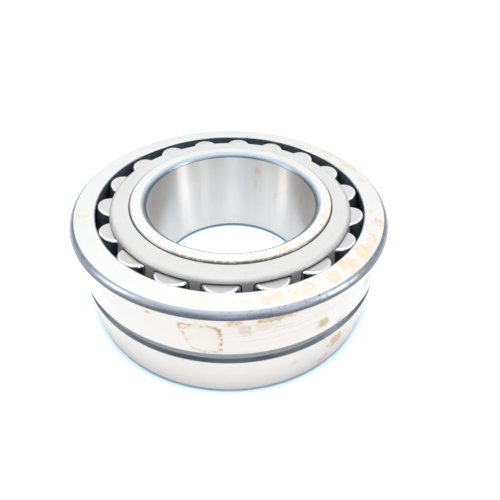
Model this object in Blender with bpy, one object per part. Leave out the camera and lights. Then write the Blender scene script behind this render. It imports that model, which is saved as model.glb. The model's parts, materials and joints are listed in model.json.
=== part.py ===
"""Spherical roller bearing, 110 x 200 x 69.8 mm, built as its 41 separate pieces.

Metres, +Z along the shaft axis, origin at the centre of the bearing (the point that every
roller row, cage and inner ring swivels about). The upper row is at +Z, the lower row at -Z.
"""
from math import acos, asin, cos, pi, radians, sin, sqrt, tan

import bmesh
import bpy
from mathutils import Matrix, Vector

MM = 0.001

# Boundary dimensions
BORE_RADIUS = 55.0 * MM
OUTER_RADIUS = 100.0 * MM
HALF_WIDTH = 34.9 * MM

# Rolling geometry: every roller touches a sphere centred on the origin
SPHERE_RADIUS = 91.6 * MM
ROLLER_COUNT = 18
ROLLER_DIAMETER = 21.6 * MM
ROLLER_LENGTH = 24.6 * MM
ROLLER_EDGE = 1.5 * MM
CONTACT_ANGLE = radians(13.5)
RUNNING_GAP = 0.4 * MM
UPPER_PHASE = radians(5.6)
LOWER_PHASE = UPPER_PHASE + pi / ROLLER_COUNT

# Outer ring
OUTER_CORNER = 3.2 * MM
RACEWAY_EDGE = 1.0 * MM
GROOVE_HALF_WIDTH = 4.15 * MM
GROOVE_DEPTH = 2.0 * MM
OIL_HOLE_RADIUS = 2.25 * MM
OIL_HOLE_COUNT = 3
OIL_HOLE_PHASE = radians(90.0)
OIL_HOLE_OVERRUN = 2.0 * MM
OIL_HOLE_SEGMENTS = 12

# Inner ring
BORE_CORNER = 3.0 * MM
INNER_CORNER = 0.8 * MM
INNER_MIDDLE_RADIUS = 71.0 * MM

# Guide ring, floating between the rows
GUIDE_INNER_RADIUS = 71.5 * MM
GUIDE_OUTER_RADIUS = 80.8 * MM
END_GAP = 0.4 * MM

# Cages
CAGE_THICKNESS = 2.0 * MM
CAGE_FLANGE_TOP = 34.1 * MM
CAGE_FLANGE_INNER = 65.4 * MM
CAGE_CORNER = 3.2 * MM
CAGE_END = 1.2 * MM
CAGE_OFFSET = 1.2 * MM
POCKET_GAP = 0.4 * MM
POCKET_CORNER = 2.0 * MM

# Facets
RING_SEGMENTS = 60
CAGE_SEGMENTS = 3 * ROLLER_COUNT
ROLLER_SEGMENTS = 14
OUTER_RACEWAY_SEGMENTS = 8
INNER_RACEWAY_SEGMENTS = 5
CORNER_SEGMENTS = 3
SHEET_INSIDE_SEGMENTS = 2
SHARP_EDGE_ANGLE = radians(30.0)

# The roller's centre and axis in the (radius, height) half-plane of the upper row
CENTRE_DISTANCE = SPHERE_RADIUS - RUNNING_GAP - ROLLER_DIAMETER / 2.0
ROLLER_CENTRE = Vector((CENTRE_DISTANCE * cos(CONTACT_ANGLE), CENTRE_DISTANCE * sin(CONTACT_ANGLE)))
ROLLER_AXIS = Vector((-sin(CONTACT_ANGLE), cos(CONTACT_ANGLE)))
ROLLER_OUTWARD = Vector((cos(CONTACT_ANGLE), sin(CONTACT_ANGLE)))
BARREL_RADIUS = 0.98 * SPHERE_RADIUS

# Colour, roughness and metallic value of each finish
GROUND_STEEL = ((0.72, 0.70, 0.68), 0.25, 1.0)
PRESSED_STEEL = ((0.55, 0.55, 0.54), 0.55, 1.0)
POLISHED_STEEL = ((0.78, 0.77, 0.76), 0.12, 1.0)


def clear_scene():
    for item in list(bpy.data.objects):
        bpy.data.objects.remove(item, do_unlink=True)


def material(name, finish):
    """A Principled material with a finish's colour, roughness and metallic value."""
    colour, roughness, metallic = finish
    made = bpy.data.materials.new(name)
    made.use_nodes = True
    shader = made.node_tree.nodes["Principled BSDF"]
    shader.inputs["Base Color"].default_value = (*colour, 1.0)
    shader.inputs["Roughness"].default_value = roughness
    shader.inputs["Metallic"].default_value = metallic
    made.diffuse_color = (*colour, 1.0)
    return made


def arc(centre, radius, start, end, steps):
    """Points (radius, height) along an arc, from one angle to another, both ends included."""
    turn = (end - start) / steps
    return [
        (centre[0] + radius * cos(start + i * turn), centre[1] + radius * sin(start + i * turn))
        for i in range(steps + 1)
    ]


def mirrored(points):
    """An upper outline continued by its mirror image below the middle plane."""
    return points + [(radius, -height) for radius, height in reversed(points)]


def turned_mesh(name, outline, segments, phase=0.0):
    """A ring turned about Z from a closed outline of (radius, height) points."""
    shape = bmesh.new()
    loops = []
    for i in range(segments):
        angle = phase + 2.0 * pi * i / segments
        loops.append([shape.verts.new((r * cos(angle), r * sin(angle), z)) for r, z in outline])
    for i in range(segments):
        here, there = loops[i], loops[(i + 1) % segments]
        for j in range(len(outline)):
            k = (j + 1) % len(outline)
            shape.faces.new((here[j], there[j], there[k], here[k]))
    return finished_mesh(name, shape)


def finished_mesh(name, shape):
    """Turn a bmesh into a mesh with its faces pointing out and smooth shading."""
    bmesh.ops.recalc_face_normals(shape, faces=shape.faces)
    made = bpy.data.meshes.new(name)
    shape.to_mesh(made)
    shape.free()
    made.shade_smooth()
    made.set_sharp_from_angle(angle=SHARP_EDGE_ANGLE)
    return made


def add_object(name, mesh, finish_material, parent=None, matrix=None):
    made = bpy.data.objects.new(name, mesh)
    bpy.context.collection.objects.link(made)
    if not mesh.materials:
        mesh.materials.append(finish_material)
    if parent is not None:
        made.parent = parent
    if matrix is not None:
        made.matrix_local = matrix
    return made


def add_empty(name):
    made = bpy.data.objects.new(name, None)
    bpy.context.collection.objects.link(made)
    made.empty_display_size = BORE_RADIUS / 2.0
    return made


def add_cutter(name, mesh, matrix):
    """A hidden wire object that only cuts other pieces."""
    made = bpy.data.objects.new(name, mesh)
    bpy.context.collection.objects.link(made)
    made.matrix_world = matrix
    made.hide_render = True
    made.display_type = "WIRE"
    return made


def cut(target, cutter):
    modifier = target.modifiers.new("cut_" + cutter.name, "BOOLEAN")
    modifier.operation = "DIFFERENCE"
    modifier.solver = "EXACT"
    modifier.object = cutter


def outer_ring_outline():
    """Half-plane outline: rounded corners, spherical raceway, oil groove in the outside."""
    raceway_top = sqrt(SPHERE_RADIUS ** 2 - HALF_WIDTH ** 2)
    edge_angle = asin((HALF_WIDTH - RACEWAY_EDGE) / SPHERE_RADIUS)
    corner_centre = (OUTER_RADIUS - OUTER_CORNER, HALF_WIDTH - OUTER_CORNER)
    groove_floor = OUTER_RADIUS - GROOVE_DEPTH
    outside = [(raceway_top + RACEWAY_EDGE, HALF_WIDTH)]
    outside += arc(corner_centre, OUTER_CORNER, pi / 2.0, 0.0, CORNER_SEGMENTS)
    outside += [(OUTER_RADIUS, GROOVE_HALF_WIDTH)]
    outside += [(groove_floor, GROOVE_HALF_WIDTH - GROOVE_DEPTH)]
    inside = arc((0.0, 0.0), SPHERE_RADIUS, -edge_angle, edge_angle, OUTER_RACEWAY_SEGMENTS)
    return mirrored(outside) + inside


def build_outer_ring():
    mesh = turned_mesh("outer_ring", outer_ring_outline(), RING_SEGMENTS)
    ring = add_object("outer_ring", mesh, material("ground_steel", GROUND_STEEL))
    for i in range(OIL_HOLE_COUNT):
        angle = OIL_HOLE_PHASE + 2.0 * pi * i / OIL_HOLE_COUNT
        hole = oil_hole_cutter("oil_hole_%d" % (i + 1), angle)
        cut(ring, hole)
    return ring


def oil_hole_cutter(name, angle):
    """A radial drill through the groove floor, between the two rows."""
    shape = bmesh.new()
    bmesh.ops.create_cone(
        shape, cap_ends=True, segments=OIL_HOLE_SEGMENTS,
        radius1=OIL_HOLE_RADIUS, radius2=OIL_HOLE_RADIUS,
        depth=OUTER_RADIUS - SPHERE_RADIUS + 2.0 * OIL_HOLE_OVERRUN,
    )
    middle = (OUTER_RADIUS + SPHERE_RADIUS) / 2.0
    place = Matrix.Rotation(angle, 4, "Z") @ Matrix.Translation((middle, 0.0, 0.0))
    place = place @ Matrix.Rotation(pi / 2.0, 4, "Y")
    return add_cutter(name, finished_mesh(name, shape), place)


def inner_ring_outline():
    """Half-plane outline: bore with rounded corners and two concave raceways."""
    bore_centre = (BORE_RADIUS + BORE_CORNER, HALF_WIDTH - BORE_CORNER)
    bore = arc(bore_centre, BORE_CORNER, pi, pi / 2.0, CORNER_SEGMENTS)
    gap_side = ROLLER_CENTRE - ROLLER_OUTWARD * (ROLLER_DIAMETER / 2.0 + RUNNING_GAP)
    centre = gap_side + ROLLER_OUTWARD * BARREL_RADIUS
    face_side = pi + asin((centre[1] - HALF_WIDTH + INNER_CORNER) / BARREL_RADIUS)
    middle_side = pi + acos((centre[0] - INNER_MIDDLE_RADIUS) / BARREL_RADIUS)
    raceway = arc(centre, BARREL_RADIUS, face_side, middle_side, INNER_RACEWAY_SEGMENTS)
    face_edge = (raceway[0][0] - INNER_CORNER, HALF_WIDTH)
    return mirrored(bore + [face_edge] + raceway)


def build_inner_ring(parent):
    mesh = turned_mesh("inner_ring", inner_ring_outline(), RING_SEGMENTS)
    return add_object("inner_ring", mesh, material("bore_steel", GROUND_STEEL), parent)


def end_face_height(radius):
    """Height of the rollers' inner end faces at a radius from the shaft axis."""
    end = ROLLER_CENTRE - ROLLER_AXIS * (ROLLER_LENGTH / 2.0)
    return end[1] + (radius - end[0]) * tan(CONTACT_ANGLE)


def build_guide_ring(parent):
    slack = END_GAP / cos(CONTACT_ANGLE)
    upper = [
        (GUIDE_INNER_RADIUS, end_face_height(GUIDE_INNER_RADIUS) - slack),
        (GUIDE_OUTER_RADIUS, end_face_height(GUIDE_OUTER_RADIUS) - slack),
    ]
    mesh = turned_mesh("guide_ring", mirrored(upper), RING_SEGMENTS)
    return add_object("guide_ring", mesh, material("guide_steel", GROUND_STEEL), parent)


def cage_outline():
    """Half-plane outline of the pressed sheet: flange, rolled corner and conical wall."""
    wall_down = -ROLLER_AXIS
    wall_point = ROLLER_CENTRE + ROLLER_OUTWARD * (CAGE_THICKNESS / 2.0 + CAGE_OFFSET)
    corner_height = CAGE_FLANGE_TOP - CAGE_CORNER
    # The corner arc's centre lies CAGE_CORNER inside the wall's outer surface
    inside_line = wall_point - ROLLER_OUTWARD * CAGE_CORNER
    travel = (corner_height - inside_line[1]) / wall_down[1]
    corner_centre = inside_line + wall_down * travel
    outer = arc(corner_centre, CAGE_CORNER, pi / 2.0, CONTACT_ANGLE, CORNER_SEGMENTS)
    inside_radius = CAGE_CORNER - CAGE_THICKNESS
    inner = arc(corner_centre, inside_radius, CONTACT_ANGLE, pi / 2.0, SHEET_INSIDE_SEGMENTS)
    wall_end = wall_point + wall_down * ((CAGE_END - wall_point[1]) / wall_down[1])
    inner_end = wall_end - Vector((CAGE_THICKNESS / cos(CONTACT_ANGLE), 0.0))
    flange = [(CAGE_FLANGE_INNER, CAGE_FLANGE_TOP - CAGE_THICKNESS), (CAGE_FLANGE_INNER, CAGE_FLANGE_TOP)]
    return flange + outer + [tuple(wall_end), tuple(inner_end)] + inner


def roller_matrix(index):
    """Place of a roller in its row: X faces outward, Z lies on the roller's own axis."""
    side_turn = Matrix.Rotation(2.0 * pi * index / ROLLER_COUNT, 4, "Z")
    centre = Matrix.Translation((ROLLER_CENTRE[0], 0.0, ROLLER_CENTRE[1]))
    return side_turn @ centre @ Matrix.Rotation(-CONTACT_ANGLE, 4, "Y")


def row_matrix(side, phase):
    """Place of a row: the lower row is the upper one turned over about X."""
    turn = Matrix.Rotation(phase, 4, "Z")
    return turn if side > 0 else turn @ Matrix.Rotation(pi, 4, "X")


def barrel_rim():
    """Radius of the barrel where its rounded edges begin."""
    reach = ROLLER_LENGTH / 2.0 - ROLLER_EDGE
    return ROLLER_DIAMETER / 2.0 - BARREL_RADIUS + sqrt(BARREL_RADIUS ** 2 - reach ** 2)


def pocket_outline():
    """Quarter outline (across, along) of a pocket, following the barrel with some play."""
    half_length = ROLLER_LENGTH / 2.0 + POCKET_GAP
    end_width = barrel_rim() + POCKET_GAP
    return [
        (ROLLER_DIAMETER / 2.0 + POCKET_GAP, 0.0),
        (end_width, half_length - POCKET_CORNER),
        (end_width - POCKET_CORNER, half_length),
    ]


def pocket_mesh():
    """All pockets of a row as one cutter: a prism round each roller, facing outward."""
    upper = mirrored_across(pocket_outline())
    outline = upper + [(-across, -along) for across, along in upper[1:-1]]
    depth = ROLLER_DIAMETER / 2.0
    shape = bmesh.new()
    for i in range(ROLLER_COUNT):
        place = roller_matrix(i)
        inner = [shape.verts.new(place @ Vector((-depth, y, z))) for y, z in outline]
        outer = [shape.verts.new(place @ Vector((depth, y, z))) for y, z in outline]
        shape.faces.new(inner)
        shape.faces.new(list(reversed(outer)))
        for j in range(len(outline)):
            k = (j + 1) % len(outline)
            shape.faces.new((inner[j], outer[j], outer[k], inner[k]))
    return finished_mesh("pockets", shape)


def mirrored_across(points):
    """The quarter outline continued by its mirror image on the other side."""
    return points + [(-across, along) for across, along in reversed(points)]


def build_cage(name, parent, place):
    mesh = turned_mesh(name, cage_outline(), CAGE_SEGMENTS, pi / CAGE_SEGMENTS)
    cage = add_object(name, mesh, material(name + "_steel", PRESSED_STEEL), parent, place)
    cut(cage, add_cutter(name + "_pockets", pocket_mesh(), place))
    return cage


def roller_outline():
    """Upper half of the barrel's side, from its middle to the rim of its end face."""
    half = ROLLER_LENGTH / 2.0
    rim = barrel_rim()
    return [(ROLLER_DIAMETER / 2.0, 0.0), (rim, half - ROLLER_EDGE), (rim - ROLLER_EDGE, half)]


def roller_mesh():
    """A barrel roller about its own Z, closed by its flat end faces."""
    upper = roller_outline()
    outline = list(reversed(upper)) + [(radius, -height) for radius, height in upper[1:]]
    shape = bmesh.new()
    loops = []
    for radius, height in outline:
        loop = []
        for i in range(ROLLER_SEGMENTS):
            angle = 2.0 * pi * (i + 0.5) / ROLLER_SEGMENTS
            loop.append(shape.verts.new((radius * cos(angle), radius * sin(angle), height)))
        loops.append(loop)
    for here, there in zip(loops, loops[1:]):
        for i in range(ROLLER_SEGMENTS):
            k = (i + 1) % ROLLER_SEGMENTS
            shape.faces.new((here[i], here[k], there[k], there[i]))
    shape.faces.new(loops[0])
    shape.faces.new(list(reversed(loops[-1])))
    return finished_mesh("roller", shape)


def build_rollers(row, cage, mesh, finish_material):
    """The rollers of a row, each in its pocket and carried by the cage."""
    for i in range(ROLLER_COUNT):
        name = "roller_%s_%02d" % (row, i + 1)
        add_object(name, mesh, finish_material, cage, roller_matrix(i))


def build():
    clear_scene()
    build_outer_ring()
    alignment_centre = add_empty("alignment_centre")
    build_guide_ring(alignment_centre)
    build_inner_ring(alignment_centre)
    upper = build_cage("cage_upper", alignment_centre, row_matrix(1, UPPER_PHASE))
    lower = build_cage("cage_lower", alignment_centre, row_matrix(-1, LOWER_PHASE))
    mesh = roller_mesh()
    polished = material("roller_steel", POLISHED_STEEL)
    build_rollers("upper", upper, mesh, polished)
    build_rollers("lower", lower, mesh, polished)


build()
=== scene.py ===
"""Looks of a spherical roller bearing: fine meshes and worked-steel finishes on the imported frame.

Every piece is turned or cut at the size and place of its CAD solid, in metres and in the CAD's own
frame, so a material's Object coordinates measure the same way all over the bearing.
"""
import json

import bmesh
import bpy
from math import acos, asin, atan2, cos, pi, radians, sin, sqrt, tan
from mathutils import Matrix, Vector


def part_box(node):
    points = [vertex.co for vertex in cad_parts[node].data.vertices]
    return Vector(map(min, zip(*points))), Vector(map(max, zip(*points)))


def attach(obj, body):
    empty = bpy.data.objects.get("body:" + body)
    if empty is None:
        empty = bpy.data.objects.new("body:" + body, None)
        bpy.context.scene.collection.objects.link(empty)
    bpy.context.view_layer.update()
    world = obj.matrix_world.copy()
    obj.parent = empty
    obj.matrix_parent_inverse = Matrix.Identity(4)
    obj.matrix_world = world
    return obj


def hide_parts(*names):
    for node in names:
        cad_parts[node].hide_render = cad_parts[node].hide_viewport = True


MM = 0.001

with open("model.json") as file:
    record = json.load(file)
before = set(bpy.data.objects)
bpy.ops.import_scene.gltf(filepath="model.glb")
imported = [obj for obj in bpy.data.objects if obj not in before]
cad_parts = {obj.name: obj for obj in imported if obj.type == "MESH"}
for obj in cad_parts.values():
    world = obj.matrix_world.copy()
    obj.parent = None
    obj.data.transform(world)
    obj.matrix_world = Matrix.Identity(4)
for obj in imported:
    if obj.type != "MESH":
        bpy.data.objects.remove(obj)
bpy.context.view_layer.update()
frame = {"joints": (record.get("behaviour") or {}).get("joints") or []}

# Outside of the bearing, from the frame
OUTER_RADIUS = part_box("outer_ring")[1].x
HALF_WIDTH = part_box("outer_ring")[1].z
FLOOR_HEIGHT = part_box("outer_ring")[0].z

# Rolling geometry; the rollers' places and tilt come from their joints
ROLLER_DIAMETER = 21.6 * MM
ROLLER_LENGTH = 24.6 * MM
ROLLER_EDGE = 1.5 * MM
ROLLER_END_MIDDLE = 0.4 * MM
RUNNING_GAP = 0.4 * MM
SPINS = {j["child"]: j for j in frame["joints"] if j["child"].startswith("roller_")}
FIRST_SPIN = SPINS["roller_upper_01"]
FIRST_CENTRE = Vector(FIRST_SPIN["pos_m"])
ROLLER_CENTRE = Vector((FIRST_CENTRE.xy.length, FIRST_CENTRE.z))
CONTACT_ANGLE = Vector(FIRST_SPIN["axis"]).angle(Vector((0.0, 0.0, 1.0)))
ROLLER_COUNT = sum(name.startswith("roller_upper") for name in SPINS)
ROLLER_AXIS = Vector((-sin(CONTACT_ANGLE), cos(CONTACT_ANGLE)))
ROLLER_OUTWARD = Vector((cos(CONTACT_ANGLE), sin(CONTACT_ANGLE)))
SPHERE_RADIUS = ROLLER_CENTRE.length + ROLLER_DIAMETER / 2.0 + RUNNING_GAP
BARREL_RADIUS = 0.98 * SPHERE_RADIUS

# Outer ring; the oil holes widen by OIL_HOLE_SINK from below the groove's floor to above it
OUTER_CORNER = 3.2 * MM
RACEWAY_EDGE = 0.9 * MM
GROOVE_HALF_WIDTH = 4.15 * MM
GROOVE_DEPTH = 2.0 * MM
GROOVE_SLOPE = radians(45.0)
GROOVE_EDGE = 0.25 * MM
GROOVE_FILLET = 2.0 * MM
OIL_HOLE_RADIUS = 2.25 * MM
OIL_HOLE_START = SPHERE_RADIUS - 3.0 * MM
OIL_HOLE_SINK = 1.3
SINK_FOOT = 0.4 * MM
SINK_TOP = 0.3 * MM
OIL_HOLE_COUNT = 3
OIL_HOLE_PHASE = radians(90.0)

# Inner ring
BORE_RADIUS = 55.0 * MM
BORE_CORNER = 3.0 * MM
INNER_CORNER = 0.8 * MM
INNER_MIDDLE_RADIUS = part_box("inner_ring")[1].x

# Guide ring
GUIDE_INNER_RADIUS = 71.5 * MM
GUIDE_OUTER_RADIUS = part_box("guide_ring")[1].x
GUIDE_EDGE = 0.4 * MM
END_GAP = 0.4 * MM

# Cages
CAGE_THICKNESS = 2.0 * MM
CAGE_FLANGE_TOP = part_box("cage_upper")[1].z
CAGE_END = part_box("cage_upper")[0].z
CAGE_FLANGE_INNER = 65.4 * MM
CAGE_CORNER = 3.2 * MM
CAGE_OFFSET = 1.2 * MM
SHEET_EDGE = 0.3 * MM
POCKET_GAP = 0.4 * MM
POCKET_CORNER = 2.0 * MM
POCKET_BREAK = 0.25 * MM

# Radius of a corner's arc over the corner's size. Heat-treated corners are cut by the grinding of
# the faces, which leaves them flatter and their edges crisp.
CORNER_FLATNESS = 1.75
RACEWAY_EDGE_FLATNESS = 1.3
INNER_CORNER_FLATNESS = 1.1
ROLLER_EDGE_FLATNESS = 1.04

# Fineness of the meshes
RING_SEGMENTS = 288
CAGE_SEGMENTS = 12 * ROLLER_COUNT
ROLLER_SEGMENTS = 64
OIL_HOLE_SEGMENTS = 32
POCKET_SIDE_STEPS = 4
BISECTIONS = 40
SUPPORT = 0.06 * MM
SAME_POINT = 1e-7
SHARP_EDGE_ANGLE = radians(32.0)

# Base colours, linear
WHITE = (1.0, 1.0, 1.0)
GROUND = (0.598, 0.523, 0.482)
GROUND_SIDE = (0.58, 0.588, 0.575)
BORE = (0.712, 0.68, 0.658)
# Lit and shaded copies of one scale, picked by which way a surface faces: painted light and painted
# shade.
# The dark copies stand in for the dark room that sideways faces and the groove's upward flank
# reflect.
OXIDE_TOP_LIT = (0.36, 0.405, 0.46)
OXIDE_SIDE_SHADED = (0.108, 0.114, 0.132)
OXIDE_RUST = (0.26, 0.20, 0.15)
OXIDE_BORE_TOP_LIT = (0.39, 0.46, 0.52)
OXIDE_BORE_SIDE_SHADED = (0.20, 0.25, 0.285)
OXIDE_GROOVE_FLANK_SHADED = (0.10, 0.128, 0.145)
OXIDE_GROOVE_FLOOR = (0.265, 0.255, 0.255)
RUST = (0.63, 0.40, 0.17)
RUST_PALE = (0.62, 0.495, 0.30)
RUST_DEEP = (0.50, 0.27, 0.11)
RUST_DARK = (0.13, 0.085, 0.055)
TAN = (0.47, 0.31, 0.165)
WATER_MARK = (0.40, 0.265, 0.14)
SCRATCH = (0.30, 0.28, 0.28)
SHEET = (0.495, 0.495, 0.49)
TARNISH = (0.34, 0.29, 0.21)
ROLLER_BARREL = (0.67, 0.67, 0.69)
ROLLER_END = (0.475, 0.477, 0.485)
TRACK = (0.26, 0.34, 0.41)
TRACK_WORN = (0.32, 0.31, 0.30)
PAPER = (0.86, 0.93, 0.97)
# Painted light on the paper: a painted shadow round the bearing's foot, and the paper's own glow
PAPER_SHADE = (0.02, 0.085, 0.13)
PAPER_GLOW = (0.155, 0.215, 0.255)

# Lowest and highest roughness. Each range stays on one side of 0.274: noise removal treats a metal
# differently above and below it, and a surface that crosses it comes out crinkled.
FACE_ROUGHNESS = (0.28, 0.34)
OUTSIDE_ROUGHNESS = (0.285, 0.33)
BORE_ROUGHNESS = (0.37, 0.41)
OXIDE_ROUGHNESS = (0.28, 0.38)
INNER_OXIDE_ROUGHNESS = (0.30, 0.40)
TRACK_ROUGHNESS = (0.16, 0.26)
SHEET_ROUGHNESS = (0.38, 0.52)
BARREL_ROUGHNESS = (0.12, 0.20)
END_ROUGHNESS = (0.30, 0.42)

# Ragged patches, measured from their middle with 1 at their edge: middle and half width of each
# outline, and where the fill starts to fade and ends
PATCH_OUTLINES = ((1.0, 0.15), (0.55, 0.11))
PATCH_FADE = (0.6, 1.15)

# Stains: degrees round, middle and half sizes in millimetres, strength
OUTER_FACE_STAINS = (
    (-87.6, 91.5, 5.0, 0.9, 0.60), (-79.8, 91.6, 4.0, 2.6, 0.60), (-76.6, 90.9, 3.0, 3.0, 0.35),
    (-69.7, 91.2, 4.5, 2.4, 0.45), (-65.5, 90.6, 3.0, 2.8, 0.80), (-56.5, 91.9, 4.0, 3.2, 0.75),
    (-48.0, 90.7, 4.5, 4.0, 0.90), (-38.8, 91.7, 6.0, 3.8, 0.80), (-30.1, 92.9, 5.0, 2.5, 0.70),
    (-19.9, 93.8, 4.0, 3.0, 1.00), (-13.1, 89.0, 2.2, 1.6, 0.85), (10.8, 91.9, 3.6, 1.8, 0.70),
    (21.3, 93.7, 6.0, 2.6, 0.95), (29.2, 94.7, 4.0, 1.8, 0.85), (36.5, 93.4, 4.0, 2.4, 0.85),
    (-98.9, 90.5, 1.3, 1.2, 0.50), (-165.3, 91.3, 1.8, 3.0, 0.55), (118.0, 92.0, 5.0, 2.0, 0.40),
)
INNER_FACE_STAINS = (
    (-62.7, 61.6, 3.6, 1.0, 0.95), (-75.7, 62.3, 2.2, 1.0, 0.75), (-52.4, 62.0, 3.0, 1.2, 0.60),
    (-39.5, 62.0, 2.2, 1.3, 0.65), (-23.3, 61.3, 2.0, 1.8, 0.50), (-134.0, 61.5, 2.0, 1.2, 0.35),
    (16.0, 61.0, 2.4, 1.6, 0.45), (37.0, 62.0, 2.6, 1.2, 0.40),
)
OUTSIDE_STAINS = (
    (-90.0, 29.7, 4.0, 3.0, 0.80), (-86.8, 24.0, 3.0, 4.0, 0.50), (-78.0, 30.6, 9.5, 2.2, 1.00),
    (-81.0, 26.0, 7.0, 3.0, 0.30), (-62.0, 13.2, 4.0, 4.2, 1.00), (-53.1, -13.9, 6.0, 5.6, 1.00),
    (-114.1, 29.1, 1.8, 1.3, 1.00), (-57.7, -26.7, 4.0, 3.4, 0.50), (-70.2, -15.4, 3.0, 2.2, 0.35),
    (-42.9, 23.0, 2.6, 5.0, 0.60), (-53.8, 6.2, 4.0, 3.5, 0.45), (-37.0, 6.0, 3.0, 7.0, 0.50),
    (20.0, 18.0, 7.0, 4.0, 0.60), (95.0, -20.0, 9.0, 5.0, 0.55), (150.0, 22.0, 6.0, 3.0, 0.60),
)
BORE_STAINS = (
    (68.0, 22.0, 2.4, 4.5, 0.80), (69.5, 10.0, 1.8, 5.0, 0.65), (50.0, 5.0, 2.2, 3.6, 0.60),
    (22.0, 15.0, 1.8, 6.0, 0.55), (-60.0, 10.0, 4.0, 6.0, 0.50), (-140.0, -12.0, 3.0, 5.0, 0.50),
)

# Loose water stains on the side faces: size in millimetres, level of the noise, seed, outline
FACE_WATER = ((7.0, 0.55, 3.0, 0.022), (3.0, 0.58, 11.0, 0.034))
INNER_FACE_RIM = 64.0

# The water mark on the outside diameter, in millimetres: a square with rounded corners, which
# leans and is wider above
MARK_HEADING = radians(-98.6)
MARK_MIDDLE = 16.5
MARK_HALF_HEIGHT = 10.5
MARK_HALF_WIDTH = 8.8
MARK_WIDENING = 1.5
MARK_LEAN = 1.9
MARK_SQUARENESS = 6.0

# Long scratches beside it: height at the front in millimetres, climb per radian, seed
FRONT = radians(-90.0)
SCRATCHES = ((21.4, 5.4, 51.0), (18.6, 6.8, 54.0), (14.2, 4.0, 57.0))
SCRATCH_HALF_WIDTH = 0.30

# The paper: reach of the painted shade round the bearing's foot, and radii where the glowing paper
# turns to white, in mm
SHADE_REACH = 7.0
PAPER_FADE = (250.0, 800.0)
PAPER_ROUGHNESS = 0.8


# ---------------------------------------------------------------- profiles

def arc(centre, radius, start, end, steps):
    """Points (radius, height) along an arc, from one angle to another, both ends included."""
    turn = (end - start) / steps
    return [
        (centre[0] + radius * cos(start + i * turn), centre[1] + radius * sin(start + i * turn))
        for i in range(steps + 1)
    ]


def straight(start, end):
    """A straight stretch with a support point beside each end, which keeps its shading flat."""
    start, end = Vector(start), Vector(end)
    inset = (end - start).normalized() * SUPPORT
    return [tuple(start), tuple(start + inset), tuple(end - inset), tuple(end)]


def bulge(start, end, radius, steps):
    """An arc of a given radius from start to end, bulging to the left of that direction."""
    start, end = Vector(start), Vector(end)
    chord = end - start
    left = Vector((-chord.y, chord.x)).normalized()
    drop = sqrt(radius ** 2 - (chord.length / 2.0) ** 2)
    centre = (start + end) / 2.0 - left * drop
    first = atan2(start.y - centre.y, start.x - centre.x)
    last = atan2(end.y - centre.y, end.x - centre.x)
    turn = (last - first + pi) % (2.0 * pi) - pi
    return arc(centre, radius, first, first + turn, steps)


def mirrored(stretches):
    """Upper stretches of a profile, (finish, points) each, continued below the middle plane."""
    lower = [
        (finish, [(radius, -height) for radius, height in reversed(points)])
        for finish, points in reversed(stretches)
    ]
    return stretches + lower


def round_angles(count):
    """The angles of count points spaced evenly round a circle."""
    return [2.0 * pi * i / count for i in range(count)]


def turned(name, stretches, finishes, segments, phase=0.0):
    """A closed ring turned about Z; each stretch of its profile keeps its own finish."""
    points, slots = [], []
    for finish, stretch in stretches:
        for here, there in zip(stretch, stretch[1:]):
            if (Vector(here) - Vector(there)).length > SAME_POINT:
                points.append(here)
                slots.append(finishes.index(finish))
    shape = bmesh.new()
    loops = []
    for i in range(segments):
        angle = phase + 2.0 * pi * i / segments
        loops.append([shape.verts.new((r * cos(angle), r * sin(angle), z)) for r, z in points])
    for i in range(segments):
        here, there = loops[i], loops[(i + 1) % segments]
        for j in range(len(points)):
            k = (j + 1) % len(points)
            face = shape.faces.new((here[j], there[j], there[k], here[k]))
            face.material_index = slots[j]
    return meshed(name, shape, finishes)


def shaded(mesh):
    """Smooth shading, broken where two faces meet at a sharp angle."""
    mesh.shade_smooth()
    mesh.set_sharp_from_angle(angle=SHARP_EDGE_ANGLE)
    return mesh


def meshed(name, shape, finishes):
    """The mesh of a finished shape, with a material slot for each of its finishes."""
    bmesh.ops.recalc_face_normals(shape, faces=shape.faces)
    made = bpy.data.meshes.new(name)
    shape.to_mesh(made)
    shape.free()
    for finish in finishes:
        made.materials.append(MATERIALS[finish])
    return shaded(made)


def add_object(name, data):
    """A new object in the scene."""
    made = bpy.data.objects.new(name, data)
    bpy.context.scene.collection.objects.link(made)
    return made


def add_piece(name, mesh, node):
    """A shown piece that stands for a CAD node and moves with its body."""
    made = add_object(name, mesh)
    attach(made, node)
    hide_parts(node)
    return made


def cut(target, cutter):
    """Cut a piece with a mesh, once and for all, and take the cutter away."""
    tool = add_object("cutter", cutter)
    modifier = target.modifiers.new("cut", "BOOLEAN")
    modifier.operation = "DIFFERENCE"
    modifier.solver = "EXACT"
    modifier.material_mode = "TRANSFER"
    modifier.object = tool
    scene_now = bpy.context.evaluated_depsgraph_get()
    made = bpy.data.meshes.new_from_object(target.evaluated_get(scene_now))
    target.modifiers.clear()
    made.name = target.data.name
    target.data = shaded(made)
    bpy.data.objects.remove(tool)


# ---------------------------------------------------------------- finishes

# Sockets of a colour Mix node, by number, because its names repeat
MIX_FACTOR, MIX_A, MIX_B, MIX_RESULT = 0, 6, 7, 2

# How far apart the noises of two neighbouring seeds lie
SEED_STEP = (7.3, 3.1, 5.7)


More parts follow.
